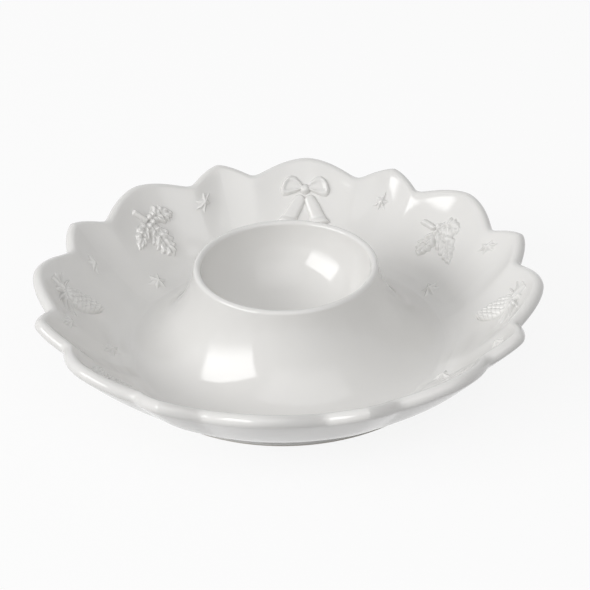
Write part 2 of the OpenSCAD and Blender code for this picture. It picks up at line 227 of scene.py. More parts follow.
def hollow_face(azimuth, u):
    """Curve from the flat floor up to the wall, both ends pulled towards the fold's corner."""
    start = spun(azimuth, join_r, floor_z)
    meet = np.full(np.shape(azimuth), meet_share)
    end, up = wall_face(azimuth, meet), outer_frame(azimuth, meet)[0]
    corner = end - up * ((end[..., 2:] - floor_z) / up[..., 2:])
    reach = np.hypot(corner[..., 0], corner[..., 1]) - join_r
    corner = spun(azimuth, join_r + (reach + np.hypot(reach, corner_clear)) / 2, floor_z)
    low, high = (side + corner_pull * (corner - side) for side in (start, end))
    return bezier([start, low, high, end], u[..., None])


def bell_area(d):
    """Share of a bell curve that lies below d: (1 + tanh(a (d + b d^3))) / 2."""
    return 0.5 * (1 + np.tanh(AREA_SCALE * (d + AREA_BEND * d**3)))


def toe_fill(radius):
    """What a blur of width w adds to a curve of bend k that ends in a level line at the toe."""
    d = (join_r - radius) / toe_blur
    bell_curve = np.exp(-d * d / 2) / math.sqrt(2 * math.pi)
    blurred = (d * d + 1) * bell_area(d) + d * bell_curve
    return toe_bend * toe_blur**2 / 2 * (blurred - np.maximum(d, 0) ** 2)


print(f"the glaze stands {toe_fill(join_r):.2f} mm deep in the cup's toe")

# %% The whole inner face
def run_length(face, first, last):
    """Straight distance between two shares of the way along a face, at azimuth 0."""
    ends = (face(np.array(0.0), np.array(share)) for share in (last, first))
    return float(np.linalg.norm(np.subtract(*ends)))


floor_run = run_length(hollow_face, 0.0, 1.0)
upper_run = run_length(wall_face, meet_share, 1.0)
hollow_share = floor_run / (floor_run + upper_run)


def inner_face(azimuth, s):
    """The hollow curve, then the wall, by the share of the way from the cup to the rim."""
    azimuth, s = np.broadcast_arrays(np.asarray(azimuth, float), np.asarray(s, float))
    low = hollow_face(azimuth, np.minimum(1, s / hollow_share))
    t = meet_share + (1 - meet_share) * np.clip((s - hollow_share) / (1 - hollow_share), 0, 1)
    point = np.where((s < hollow_share)[..., None], low, wall_face(azimuth, t))
    point[..., 2] += toe_fill(np.hypot(point[..., 0], point[..., 1]))
    return point


def inner_normal(azimuth, s):
    """Turn direction x up direction on the inner face."""
    across = inner_face(azimuth + TURN_STEP, s) - inner_face(azimuth - TURN_STEP, s)
    up = inner_face(azimuth, np.minimum(1, s + SHARE_STEP)) - inner_face(azimuth, s - SHARE_STEP)
    return unit(np.cross(across, up))


print(f"the hollow curve takes {hollow_share:.2f} of the inner face")

# %% [markdown]
# ## From a grid of points to a mesh
#
# Each shape below is an array of points in rows and columns. Four neighbours make a
# face, and a shape that comes back on itself takes its last row or column next to its
# first. Blender takes the arrays whole, which is far quicker than adding faces in a loop.

# %% Grids and meshes
def grid_faces(rows, columns, close_rows=False, close_columns=False):
    """Corner numbers of the faces between neighbouring rows and columns."""
    i = np.arange(rows if close_rows else rows - 1)[:, None]
    j = np.arange(columns if close_columns else columns - 1)[None, :]
    i2, j2 = (i + 1) % rows, (j + 1) % columns
    corners = (i * columns + j, i * columns + j2, i2 * columns + j2, i2 * columns + j)
    return np.stack(np.broadcast_arrays(*corners), -1).reshape(-1, 4)


def make_piece(name, points, faces, sharp_over=50, painted_shade=None):
    """A mesh in metres, smooth but for edges over an angle; the last argument gives each point its share
    of painted shade.
    """
    mesh = bpy.data.meshes.new(name)
    points = points.reshape(-1, 3)
    mesh.vertices.add(len(points))
    mesh.vertices.foreach_set("co", (points * MM).astype(np.float32).ravel())
    loops = np.concatenate([f.ravel() for f in faces])
    sides = np.concatenate([np.full(len(f), f.shape[1]) for f in faces])
    mesh.loops.add(len(loops))
    mesh.loops.foreach_set("vertex_index", loops.astype(np.int32))
    mesh.polygons.add(len(sides))
    mesh.polygons.foreach_set("loop_start", (np.cumsum(sides) - sides).astype(np.int32))
    mesh.update(calc_edges=True)
    mesh.validate()
    # painted shade: how deep each point lies in a recess of the relief, kept for the material to darken
    if painted_shade is not None:
        shade_amount = mesh.attributes.new("painted_shade", "FLOAT", "POINT")
        shade_amount.data.foreach_set("value", painted_shade.astype(np.float32))
    mesh.shade_smooth()
    mesh.set_sharp_from_angle(angle=math.radians(sharp_over))
    piece = bpy.data.objects.new(name, mesh)
    bpy.context.scene.collection.objects.link(piece)
    print(f"{name}: {int((sides - 2).sum())} triangles")
    return piece


# %% [markdown]
# ## The saucer
#
# One section of the saucer runs under the floor, up the outer face, over the rim's half
# circle, down the inner face and along the floor to the cup. Carried round all azimuths
# it closes into a ring. The columns stand closer near the notches, where the rim turns
# within a millimetre, so the notches stay crisp without spending faces on the lobes.

# %% Columns round the saucer
column_count, fine_count = 1056, 2001
notch_weight, notch_width = 2.2, 1.6


def saucer_azimuths():
    """Azimuths spaced so that their density is 1 + a few times a bump at each notch."""
    fine = np.linspace(-sector / 2, sector / 2, fine_count)
    density = 1 + notch_weight * np.exp(-(((np.abs(fine) - large_half) / notch_width) ** 2))
    way = np.concatenate([[0], np.cumsum((density[1:] + density[:-1]) / 2)])
    sectors = np.arange(round(360 / sector))
    per_sector = column_count // len(sectors)
    one = np.interp(np.arange(per_sector) / per_sector * way[-1], way, fine)
    return (one[None, :] + sector * sectors[:, None]).ravel()


azimuths = saucer_azimuths()[None, :]
steps = np.diff(azimuths[0])
print(f"columns {steps.min():.2f} degrees apart at a notch, {steps.max():.2f} on a lobe")

# %% Build the saucer
under_rows, rise_rows, bead_rows, fall_rows, hollow_rows = 3, 23, 17, 37, 16
hollow_spacing = 1.4


def bead(azimuth, turn):
    """The rim's half circle from the outer face over the top to the inner face."""
    up, normal = outer_frame(azimuth, np.ones_like(azimuth))
    turn = turn[..., None]
    return outer_face(azimuth, np.ones_like(azimuth)) + bead_r * (
        normal + up * np.sin(turn) - normal * np.cos(turn))


every = np.ones_like(azimuths)
under = np.linspace(0, 1, under_rows)[:, None] * every
rise = np.linspace(0, 1, rise_rows)[1:, None] * every
turns = np.linspace(0, np.pi, bead_rows)[1:-1, None] * every
down_wall = np.linspace(1, hollow_share, fall_rows)[:-1]
down_hollow = hollow_share * np.linspace(1, 0, hollow_rows) ** hollow_spacing
fall = np.concatenate([down_wall, down_hollow])[:, None] * every
saucer_points = np.concatenate([
    spun(azimuths, join_r + (foot_r - join_r) * under, foot_h),
    outer_face(azimuths * np.ones_like(rise), rise),
    bead(azimuths * np.ones_like(turns), turns),
    inner_face(azimuths, fall),
])
rows, columns = saucer_points.shape[:2]
saucer = make_piece("saucer", saucer_points, [grid_faces(rows, columns, True, True)])

# %% [markdown]
# ## The cup
#
# The cup is turned: one outline spun about the axis. Its bowl is half an ellipse, its lip
# a half circle, and its side a flare that runs out level along the saucer's floor, so
# that the two read as one skin of glaze. The two points on the axis close the bowl and
# the hollow underneath with a fan of triangles each.

# %% Curves of the cup
flare_out, flare_drop, flare_run = 1.8, 12.0, 5.5
lip_r = lip_t / 2
lip_z = cup_h - lip_r
flare_lean = math.atan(flare_out / flare_drop)
flare_top = np.array([mouth_r + lip_r * (1 + math.cos(flare_lean)),
                      lip_z + lip_r * math.sin(flare_lean)])
flare_points = [flare_top, flare_top + [flare_out, -flare_drop],
                np.array([join_r - flare_run, floor_z]), np.array([join_r, floor_z])]


def bowl(grow, turn):
    """Quarter ellipse of the bowl, moved out by a thickness, from its lip to its bottom."""
    depth = bowl_depth - lip_r + grow
    return np.stack([(mouth_r + grow) * np.cos(turn), lip_z - depth * np.sin(turn)], -1)


def flare(u):
    """Cubic curve from the lip down and out to the floor, with the glaze's fill at its toe."""
    line = bezier(flare_points, u[:, None])
    line[:, 1] += u * toe_fill(line[:, 0])
    return line


def flare_inside(u):
    """The flare moved square to itself by the thickness, which thins to the floor's."""
    along = flare(u + SHARE_STEP) - flare(u - SHARE_STEP)
    inward = unit(np.stack([along[:, 1], -along[:, 0]], -1))
    return flare(u) + inward * (cup_t + (floor_t - cup_t) * u)[:, None]


print(f"the cup's side leaves the lip {math.degrees(flare_lean):.1f} degrees off upright")

# %% The cup's outline
bowl_rows, lip_rows, flare_rows, under_flare_rows, shell_rows = 42, 22, 56, 40, 16
flare_spacing = 1.5
shell_r, shell_depth = mouth_r + cup_t, bowl_depth - lip_r + cup_t

under_flare = flare_inside(np.linspace(1, 0, under_flare_rows))
shell_at = shell_r * np.sqrt(np.maximum(0, 1 - ((lip_z - under_flare[:, 1]) / shell_depth) ** 2))
under_flare = under_flare[under_flare[:, 0] > shell_at + cup_t / 2]
crest_turn = math.asin((lip_z - under_flare[-1, 1]) / shell_depth)
lip_turns = np.linspace(np.pi, flare_lean, lip_rows)[1:-1]
cup_outline = np.concatenate([
    bowl(0, np.linspace(np.pi / 2, 0, bowl_rows)[1:]),
    np.stack([mouth_r + lip_r + lip_r * np.cos(lip_turns), lip_z + lip_r * np.sin(lip_turns)], -1),
    flare(1 - np.linspace(1, 0, flare_rows) ** flare_spacing),
    under_flare,
    bowl(cup_t, np.linspace(crest_turn, np.pi / 2, shell_rows)[1:-1]),
])
print("outline:", len(cup_outline), "points, lip at", round(float(cup_outline[:, 1].max()), 2), "mm")

# %% Spin the outline
spin_columns = 512


def spin(name, outline, columns, bottom=None, top=None, closed=False):
    """The outline at every azimuth; where it ends on the axis, a fan closes the pole."""
    azimuth = np.arange(columns) * 360 / columns
    points = spun(azimuth[None, :], outline[:, :1], outline[:, 1:]).reshape(-1, 3)
    faces = [grid_faces(len(outline), columns, closed, True)]
    ring = np.arange(columns)
    for pole, row in ((bottom, 0), (top, len(outline) - 1)):
        if pole is not None:
            here, after = row * columns + ring, row * columns + (ring + 1) % columns
            pair = (here, after) if row else (after, here)
            faces.append(np.stack([np.full(columns, len(points)), *reversed(pair)], -1))
            points = np.concatenate([points, [[0, 0, pole]]])
    return make_piece(name, points, faces)


bowl_floor = cup_h - bowl_depth
cup = spin("cup", cup_outline, spin_columns, bottom=bowl_floor, top=bowl_floor - cup_t)

# %% [markdown]
# ## The foot ring
#
# The foot is the only place without glaze: the ware stands on it in the kiln. Its sides
# are glazed, and the glaze runs into the wall above in a small fillet.

# %% Build the foot ring
fillet, corner_rows = 0.7, 9
ring_in = foot_r - foot_t
corner = np.linspace(0, np.pi / 2, corner_rows)
ease = np.linspace(0, 1, corner_rows)[:, None]
heel_end = np.array([foot_r + fillet * math.cos(heel_angle), foot_h + fillet * math.sin(heel_angle)])
foot_outline = np.concatenate([
    bezier([np.array([ring_in - fillet, foot_h]), np.array([ring_in, foot_h]),
            np.array([ring_in, foot_h - fillet])], ease),
    np.stack([ring_in + foot_round * (1 - np.cos(corner)), foot_round * (1 - np.sin(corner))], -1),
    np.stack([foot_r - foot_round * (1 - np.sin(corner)), foot_round * (1 - np.cos(corner))], -1),
    bezier([np.array([foot_r, foot_h - fillet]), np.array([foot_r, foot_h]), heel_end], ease),
    [[foot_r, foot_h + fillet]],
])
foot = spin("foot", foot_outline, spin_columns, closed=True)

# %% [markdown]
# ## Raised ornament as height fields
#
# The ornaments are pressed with the ware, so each is a height above the wall, given over
# a small grid of millimetres along the rim (x) and up the wall (y). The glaze fills every
# sharp inner corner, which a few passes of a 1-2-1 blur do to the heights. Where nothing
# is raised the field lies a hair below the wall, so an ornament's edge meets the wall in
# a soft line and no loose rim shows. A copy of the grid underneath closes the piece.

# %% From a place on the wall to a point in space
GRID = 0.08
ground, depth_under = -0.07, 0.25
path_end, path_count = 0.985, 500


def soften(h, passes):
    """Each pass takes (left + 2 middle + right) / 4 along both directions."""
    for _ in range(passes):
        for axis in (0, 1):
            ahead, back = np.roll(h, 1, axis), np.roll(h, -1, axis)
            h = (ahead + 2 * h + back) / 4
    return h


def on_wall(spot, x, y, h):
    """Point at height h over the wall, x along the rim and y up the wall from a spot."""
    shares = np.linspace(0, path_end, path_count)
    path = inner_face(spot[0], shares)
    climb = np.concatenate([[0], np.cumsum(np.linalg.norm(np.diff(path, axis=0), axis=1))])
    start = np.interp(spot[1], shares, climb)
    s = np.interp(start + y, climb, shares)
    radius = np.hypot(path[:, 0], path[:, 1])
    azimuth = spot[0] + np.degrees(x / np.interp(s, shares, radius))
    return inner_face(azimuth, s) + h[..., None] * inner_normal(azimuth, s)


spike = np.zeros((9, 9))
spike[4, 4] = 1
print("a spike keeps", round(float(soften(spike, 1)[4, 4]), 2), "of its height in one pass")

# %% From a height field to a closed piece
shown_above, pinch_passes, relief_sharp_over = 0.012, 3, 75
# painted shade in the recesses: blur passes, and the depth below the blur that gets the full shade
shade_blur_passes, shade_full_depth = 24, 0.3


def kept_cells(h):
    """Cells with a corner above the ground, with single-corner pinches filled."""
    up = h > ground + shown_above
    cells = up[:-1, :-1] | up[1:, :-1] | up[:-1, 1:] | up[1:, 1:]
    cells[0], cells[-1], cells[:, 0], cells[:, -1] = False, False, False, False
    for _ in range(pinch_passes):
        a, b, c, d = cells[:-1, :-1], cells[:-1, 1:], cells[1:, :-1], cells[1:, 1:]
        slant, other = a & d & ~b & ~c, b & c & ~a & ~d
        cells[:-1, 1:] |= slant
        cells[:-1, :-1] |= other
    return cells


def closed_faces(cells):
    """Top faces, the same faces underneath turned over, and a side face at each border edge."""
    rows, columns = cells.shape[0] + 1, cells.shape[1] + 1
    quads = grid_faces(rows, columns).reshape(rows - 1, columns - 1, 4)
    top = quads[cells]
    padded = np.pad(cells, 1)
    beyond = (padded[:-2, 1:-1], padded[1:-1, 2:], padded[2:, 1:-1], padded[1:-1, :-2])
    sides, under = [], rows * columns
    for side, neighbour in enumerate(beyond):
        edge = quads[cells & ~neighbour][:, [side, (side + 1) % 4]]
        sides.append(np.stack([edge[:, 1], edge[:, 0], edge[:, 0] + under, edge[:, 1] + under], -1))
    faces = np.concatenate([top, top[:, ::-1] + under, *sides])
    used, faces = np.unique(faces, return_inverse=True)
    return used, faces.reshape(-1, 4)


def ornament(name, spot, half_x, half_y, height, passes=4):
    """The height field height(x, y) over a window, softened, seated on the wall and closed."""
    x, y = np.meshgrid(np.arange(-half_x, half_x, GRID), np.arange(-half_y, half_y, GRID))
    h = soften(np.maximum(height(x, y), ground), passes)
    used, faces = closed_faces(kept_cells(h))
    top, under = on_wall(spot, x, y, h), on_wall(spot, x, y, h * 0 + ground - depth_under)
    points = np.concatenate([top.reshape(-1, 3), under.reshape(-1, 3)])[used]
    # painted shade: points lower than their blurred surroundings are darkened; the closing copy
    # underneath gets none
    recess_shade = np.clip((soften(h, shade_blur_passes) - h) / shade_full_depth, 0, 1)
    painted_shade = np.concatenate([recess_shade.ravel(), recess_shade.ravel() * 0])[used]
    return make_piece(name, points, [faces], relief_sharp_over, painted_shade)


print(f"relief is worked out every {GRID} mm and reaches {depth_under} mm into the wall")

# %% [markdown]
# ## Stars
#
# A star is a six-sided pyramid whose sides are folded: it falls in a straight ridge to
# each point and in a valley between two points. Folding the plane six times over the
# angle leaves one plane to write down.

# %% Height of a star
star_points, valley_share, star_h, blur_loss = 6, 0.5, 1.0, 0.1


def star(diameter, turn):
    """H (1 - (x + c y) / R) in the folded wedge; c puts the valley's end on the edge."""
    radius, wedge = diameter / 2, math.pi / star_points
    slope = (1 - valley_share * math.cos(wedge)) / (valley_share * math.sin(wedge))

    def height(x, y):
        """The folded pyramid over the star's own window."""
        angle = np.arctan2(y, x) - math.radians(turn)
        fold = np.abs((angle + wedge) % (2 * wedge) - wedge)
        r = np.hypot(x, y)
        reach = (r * np.cos(fold) + slope * r * np.sin(fold)) / radius
        return (star_h + blur_loss) * (1 - reach)
    return height


print("a star's top stands", round(float(star(5.5, 0)(0.0, 0.0)), 2), "mm high before the blur")

# %% [markdown]
# ## Leaf sprigs
#
# Three toothed leaves stand round three berries, on a short stem. On the real ware each
# leaf is a row of soft pillows on both sides of a sunken midrib, like a stitched quilt:
# the pillows slant forward, and each ends in a rounded tooth on the leaf's edge. The
# same phase therefore drives both the pillow and the tooth.

# %% Height of a leaf
relief_h = 1.3
leaf_fullness, widest_place, bluntness = 1.04, 0.82, 0.66
slant, tooth = 0.85, 0.14
quilt_depth, pillow_power = 0.52, 0.7
groove_depth, groove_w, fade_share = 0.45, 0.34, 0.2
edge_slope, edge_soft = 1.3, 0.26
swell_low, swell_more, swell_place, swell_side = 0.78, 0.3, 0.7, 0.15


def local(x, y, root, turn):
    """Coordinates along and across a line that leaves root at an angle clockwise from up."""
    a = math.radians(turn)
    dx, dy = x - root[0], y - root[1]
    return dx * math.sin(a) + dy * math.cos(a), dx * math.cos(a) - dy * math.sin(a)


def leaf(x, y, root, turn, length, width, pillows):
    """Height rises as 1 - exp(-d / soft) from the edge, times a round pillow for each phase."""
    u, v = local(x, y, root, turn)
    way, side = np.clip(u / length, 0, 1), np.abs(v)
    edge = width / 2 * leaf_fullness * np.sin(np.pi * way**widest_place) ** bluntness
    phase = pillows * (u - slant * side) / length
    edge_phase = pillows * (u - slant * edge) / length
    edge = edge * (1 - tooth * np.cos(2 * np.pi * edge_phase))
    beyond_ends = -np.hypot(u - way * length, side)
    inward = np.where(u == way * length, (edge - side) / edge_slope, beyond_ends)
    pillow = np.abs(np.sin(np.pi * phase)) ** pillow_power
    rib_fade = np.clip(edge / (width * fade_share), 0, 1)
    quilt = 1 - quilt_depth * rib_fade * (1 - pillow)
    groove = 1 - groove_depth * rib_fade * np.exp(-((v / groove_w) ** 2))
    swell = relief_h * (swell_low + swell_more * np.sin(np.pi * way**swell_place))
    swell = swell * (1 - swell_side * (side / (width / 2)) ** 2)
    rise = 1 - np.exp(-np.maximum(inward, 0) / edge_soft)
    return np.where(inward > 0, swell * rise * quilt * groove, ground + inward)


print("leaves stand up to", round(relief_h * (swell_low + swell_more), 2), "mm high")

# %% Height of a berry and of a stem
dome_power, dimple, dimple_w = 0.6, 0.12, 0.25
tip_keeps, tip_follows = 0.4, 0.6


def berry(x, y, place, diameter, top):
    """Round dome top (1 - r^2)^0.6 with a small dimple in its crown."""
    r = np.hypot(x - place[0], y - place[1]) / (diameter / 2)
    dome = np.maximum(0, 1 - r * r) ** dome_power
    return np.where(r < 1, top * dome - dimple * np.exp(-((r / dimple_w) ** 2)), ground)


def stem(x, y, root, turn, length, width, top, taper=0.0):
    """A half-round bar with round ends, narrower and lower to its tip by the taper."""
    u, v = local(x, y, root, turn)
    along = np.clip(u, 0, length)
    size = 1 - taper * along / length
    d = np.hypot(u - along, v) / (width / 2 * size)
    high = top * (tip_keeps + tip_follows * size)
    return np.where(d < 1, high * np.sqrt(np.maximum(0, 1 - d * d)), ground)


def out_from(root, turn, distance):
    """The point at a distance from root, at an angle clockwise from up."""
    a = math.radians(turn)
    return root[0] + distance * math.sin(a), root[1] + distance * math.cos(a)


print("a berry's dimple is", dimple, "mm deep")

# %% A whole sprig
leaf_l, leaf_w, berry_d, stem_l, stem_w = 10.9, 6.2, 1.9, 4.6, 1.4
leaf_shares = ((0.68, 0.8, 3.6), (1.0, 1.0, 4.6), (0.68, 0.8, 3.6))
berry_turn, berry_out = 45, berry_d * 0.64
stem_h, berry_h = relief_h * 0.8, relief_h * 1.3


def sprig(angles):
    """The highest of a stem, three leaves and three berries between them."""
    root, middle = berry_d / 2, (0, 0)

    def height(x, y):
        """The sprig's parts round the middle of its window."""
        stem_root = out_from(middle, angles[0], root)
        parts = [stem(x, y, stem_root, angles[0], stem_l, stem_w, stem_h)]
        for turn, (length, width, pillows) in zip(angles[1:], leaf_shares):
            leaf_root = out_from(middle, turn, root)
            parts.append(leaf(x, y, leaf_root, turn, leaf_l * length, leaf_w * width, pillows))
            place = out_from(middle, turn - berry_turn, berry_out)
            parts.append(berry(x, y, place, berry_d, berry_h))
        return np.maximum.reduce(parts)
    return height


print("a sprig reaches", round(berry_d / 2 + leaf_l, 1), "mm from its berries")

# %% [markdown]
# ## Bells
#
# At the back and the front hang pairs of bells under a bow. A bell is half round across
# and widens to its mouth, where a rolled band stands out over a thin groove. Each loop of
# the bow is a flat drop with a raised hem, pinched into folds at the knot.

# %% Height of a bell
bell_l, bell_w = 8.4, 7.0
bell_outline = ((0, 0.03, 0.09, 0.35, 0.62, 0.84, 0.94, 1),
                (0, 0.3, 0.47, 0.6, 0.66, 0.78, 0.94, 1.0))
bell_low, bell_more, bell_power, mouth_sag = 0.7, 0.3, 0.8, 0.5
bell_rings = ((0.26, 0.75, 0.42), (-0.16, 1.7, 0.2))
narrowest, ring_over = 0.05, 0.15


def bell(x, y, root, turn):
    """Half-round body sqrt(1 - (v / w)^2), w read from the outline, and rings at the mouth."""
    u, v = local(x, y, root, turn)
    way = np.clip(u / bell_l, 0, 1)
    w = bell_w / 2 * np.interp(way, *bell_outline)
    from_mouth = u - bell_l + mouth_sag * (v / (bell_w / 2)) ** 2
    across = np.sqrt(np.maximum(0, 1 - (v / np.maximum(w, narrowest)) ** 2))
    body = relief_h * (bell_low + bell_more * way) * across**bell_power
    rings = sum(high * np.exp(-(((from_mouth + place) / spread) ** 2))
                for high, place, spread in bell_rings)
    inside = (np.abs(v) < w) & (u > 0) & (from_mouth < 0)
    return np.where(inside, body + rings * (body > ring_over), ground)


print(f"bell {bell_l} mm long and {bell_w} mm wide at its mouth")

# %% Height of a loop of the bow, and the whole pair
ribbon_l, ribbon_w, ribbon_full = 6.2, 2.6, 1.02
ribbon_outline = ((0, 0.2, 0.5, 0.75, 0.92, 1), (0.26, 0.62, 0.98, 1, 0.72, 0.3))
hem_place, hem_w = 0.72, 0.24
end_h, end_place, end_w = 0.8, 0.9, 0.1
fold_h, fold_turns, fold_fade = 0.16, 5.2, 5
ribbon_low, ribbon_more = 0.5, 0.34
bell_spread, loop_spread = 29, 68
knot_up, knot_d, knot_h = bell_l * 0.42, ribbon_w * 1.1, relief_h * 1.12
bell_out, loop_out = ribbon_w * 0.75, ribbon_w * 0.45
clapper_out, clapper_d, clapper_h = bell_l + bell_w * 0.16, bell_w * 0.3, relief_h * 0.85


def loop(x, y, root, turn):
    """A flat drop that swells outward, with a raised hem, and two folds at the knot."""
    u, v = local(x, y, root, turn)
    way = np.clip(u / ribbon_l, 0, 1)
    w = ribbon_w * ribbon_full * np.interp(way, *ribbon_outline)
    across = np.abs(v) / w
    hem = np.exp(-(((across - hem_place) / hem_w) ** 2))
    hem = hem + end_h * np.exp(-(((way - end_place) / end_w) ** 2))
    folds = fold_h * np.cos(v * fold_turns) * np.exp(-way * fold_fade)
    top = relief_h * (ribbon_low + ribbon_more * np.clip(hem, 0, 1)) + folds
    edge = np.sqrt(np.maximum(0, 1 - across**4))
    return np.where((across < 1) & (u > 0) & (u < ribbon_l), top * edge, ground)


def bell_pair(x, y):
    """The highest of two bells with clappers, two loops and the knot between them."""
    knot = (0, knot_up)
    parts = []
    for side in (-1, 1):
        turn = 180 + side * bell_spread
        root = out_from(knot, turn, bell_out)
        parts.append(bell(x, y, root, turn))
        parts.append(berry(x, y, out_from(root, turn, clapper_out), clapper_d, clapper_h))
        loop_turn = side * loop_spread
        parts.append(loop(x, y, out_from(knot, loop_turn, loop_out), loop_turn))
    parts.append(berry(x, y, knot, knot_d, knot_h))
    return np.maximum.reduce(parts)


print("the bow's knot sits", round(knot_up, 2), "mm above the middle of its window")

# %% [markdown]
# ## Pine cones
#
# At the sides lie pine cones with a spray of needles. A cone is an oval dome covered by a
# lattice of scales, each higher at its free end. The rows of scales are shifted by half a
# scale from one to the next, as on a real cone, so the lattice reads as overlapping.

# %% Height of a pine cone
cone_l, cone_w = 12.0, 7.4
cone_outline = ((0, 0.06, 0.2, 0.4, 0.6, 0.8, 0.93, 1),
                (0.42, 0.7, 0.94, 1, 0.93, 0.68, 0.38, 0.08))
cone_aside, cone_up, cone_turn = cone_l * 0.18, cone_l * 0.5, 22
scale_l, scale_sag, scales_across = 1.55, 0.22, 2.1
tile_rise, tile_power, tile_side = 1.25, 0.7, 0.7
cone_square, cone_power, cone_low, cone_more = 2.4, 0.4, 0.7, 0.72


def cone_body(u, v):
    """Oval dome times scales: rows of arcs, shifted by half a scale from row to row."""
    way = np.clip(u / cone_l, 0, 1)
    w = cone_w / 2 * np.interp(way, *cone_outline)
    across = v / np.maximum(w, narrowest)
    row = u / scale_l + scale_sag * np.abs(across) ** 2
    scale = across * scales_across + 0.5 * (np.floor(row) % 2)
    f, g = row % 1, scale % 1 - 0.5
    tile = np.clip(f * tile_rise, 0, 1) ** tile_power * (1 - (2 * g) ** 4 * tile_side)
    dome = np.maximum(0, 1 - np.abs(across) ** cone_square) ** cone_power
    body = relief_h * dome * (cone_low + cone_more * tile)
    return np.where((np.abs(across) < 1) & (u > 0) & (u < cone_l), body, ground)


print("a cone has", round(cone_l / scale_l), "rows of scales")

# %% The cone with its stalk and needles
needle_count, needle_w, needle_taper = 4, 1.1, 0.72
needle_l, needle_shorter, longest_needle = 7.0, 0.9, 1.6
first_needle, needle_step = 38, 23
needle_root_turn, needle_root_out = 60, 0.9
needle_high, needle_lower = 0.95, 0.05
stalk_l, stalk_w = 2.6, 1.1


def pine_cone(flip):
    """The highest of the cone's body, a stalk and a fan of needles on each side of it."""
    head, turn = (cone_aside * flip, cone_up), 180 + cone_turn * flip

    def height(x, y):
        """The cone's parts over its own window."""
        parts = [cone_body(*local(x, y, head, turn))]
        for side in (-1, 1):
            start = out_from(head, turn + 180 + side * needle_root_turn, needle_root_out)
            for k in range(needle_count):
                out = turn + 180 + side * (first_needle + needle_step * k)
                length = needle_l - needle_shorter * abs(k - longest_needle)
                high = relief_h * (needle_high - needle_lower * k)
                parts.append(stem(x, y, start, out, length, needle_w, high, needle_taper))
        parts.append(stem(x, y, head, turn + 180, stalk_l, stalk_w, stem_h))
        return np.maximum.reduce(parts)
    return height


print("needles:", 2 * needle_count)

# %% [markdown]
# ## Placing the ornaments
#
# A spot is an azimuth and the share of the way up the inner face, as in the measured
# model. Each ornament replaces the part of the frame that has its name.

# %% Where the ornaments sit
sprig_spots = ((42, 0.77), (138, 0.8), (-134, 0.81), (-47, 0.825))
sprig_angles = ((-64, 64, 110, 184), (-38, 74, 160, 244), (-30, 84, 172, 252), (-32, 80, 171, 250))
bell_spots, cone_spots = ((0, 0.76), (180, 0.76)), ((87.5, 0.7), (-89, 0.69))
rim_star_spots = ((22, 0.83), (62, 0.92), (109, 0.88), (152, 0.91),
                  (-158.5, 0.87), (-104.5, 0.91), (-73, 0.86), (-29.5, 0.91))
floor_star_spots = ((18, 0.3), (56, 0.14), (113.5, 0.17), (163, 0.2),
                    (-143, 0.14), (-105, 0.34), (-57.5, 0.21), (-19, 0.25))
rim_star_d, rim_star_turn, rim_star_half = 5.5, 17, 3.3
floor_star_d, floor_star_turn, floor_star_half = 6.2, 23, 3.5
sprig_half, cone_half, bell_half_x, bell_half_y = 14, 11, 10, 9.2
sprig_passes, cone_passes, star_passes = 7, 5, 3
print("stars:", len(rim_star_spots), "near the rim and", len(floor_star_spots), "low on the wall")

# %% Seat every ornament on the wall
ornaments = {}
for n, (spot, angles) in enumerate(zip(sprig_spots, sprig_angles), 1):
    ornaments[f"leaf_sprig_{n}"] = ornament(
        f"sprig_{n}", spot, sprig_half, sprig_half, sprig(angles), sprig_passes)
for n, spot in enumerate(bell_spots, 1):
    ornaments[f"bell_pair_{n}"] = ornament(f"bells_{n}", spot, bell_half_x, bell_half_y, bell_pair)
for n, (spot, flip) in enumerate(zip(cone_spots, (1, -1)), 1):
    ornaments[f"pine_cone_{n}"] = ornament(
        f"cone_{n}", spot, cone_half, cone_half, pine_cone(flip), cone_passes)
for n, (rim_spot, floor_spot) in enumerate(zip(rim_star_spots, floor_star_spots), 1):
    ornaments[f"rim_star_{n}"] = ornament(
        f"upper_star_{n}", rim_spot, rim_star_half, rim_star_half,
        star(rim_star_d, rim_star_turn * n), star_passes)
    ornaments[f"floor_star_{n}"] = ornament(
        f"lower_star_{n}", floor_spot, floor_star_half, floor_star_half,
        star(floor_star_d, floor_star_turn * n), star_passes)

# %% [markdown]
# ## Riding on the frame
#
# Nothing on an egg cup moves, so every piece rides on the one body, and the part of the
# frame that each piece stands for is hidden.

# %% Tie the pieces to the frame
stands_for = {"dish": saucer, "egg_cup": cup, "foot_ring": foot, **ornaments}
for node, piece in stands_for.items():
    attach(piece, "root")
    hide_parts(node)
print(len(stands_for), "pieces ride on the one body")

# %% [markdown]
# ## Glaze
#
# Feldspar glaze over white porcelain is a hard clear glass on a warm white body. Two
# things tell it from plastic: it ripples faintly, so the lamps' edges waver in it; and here
# and there a fine dark speck of iron or a pinhole shows. Both are drawn from the object's own
# coordinates. The hollows of the relief are also painted a shade greyer: painted shade,
# worked out from the height fields.

# %% Short ways to add the nodes that come again and again
def add_node(tree, kind, inputs=(), **settings):
    """A node with its settings, its inputs linked to sockets or set to constants."""
    made = tree.nodes.new(kind)
    for key, value in settings.items():
        setattr(made, key, value)
    for key, value in dict(inputs).items():
        if isinstance(value, bpy.types.NodeSocket):
            tree.links.new(value, made.inputs[key])
        else:
            made.inputs[key].default_value = value
    return made


def calculate(tree, operation, *values):
    """Output of a Math node on two or three values."""
    return add_node(tree, "ShaderNodeMath", enumerate(values), operation=operation).outputs[0]


def noise(tree, place, scale, detail, **more):
    """Cloudy values from 0 to 1, with about so many clouds to the metre."""
    inputs = {"Vector": place, "Scale": scale, "Detail": detail, **more}
    return add_node(tree, "ShaderNodeTexNoise", inputs).outputs["Fac"]


def ramp(tree, value, limits, results=(0.0, 1.0), **settings):
    """The value carried from between two limits to between two results."""
    names = ("Value", "From Min", "From Max", "To Min", "To Max")
    inputs = zip(names, (value, *limits, *results))
    return add_node(tree, "ShaderNodeMapRange", inputs, **settings).outputs[0]


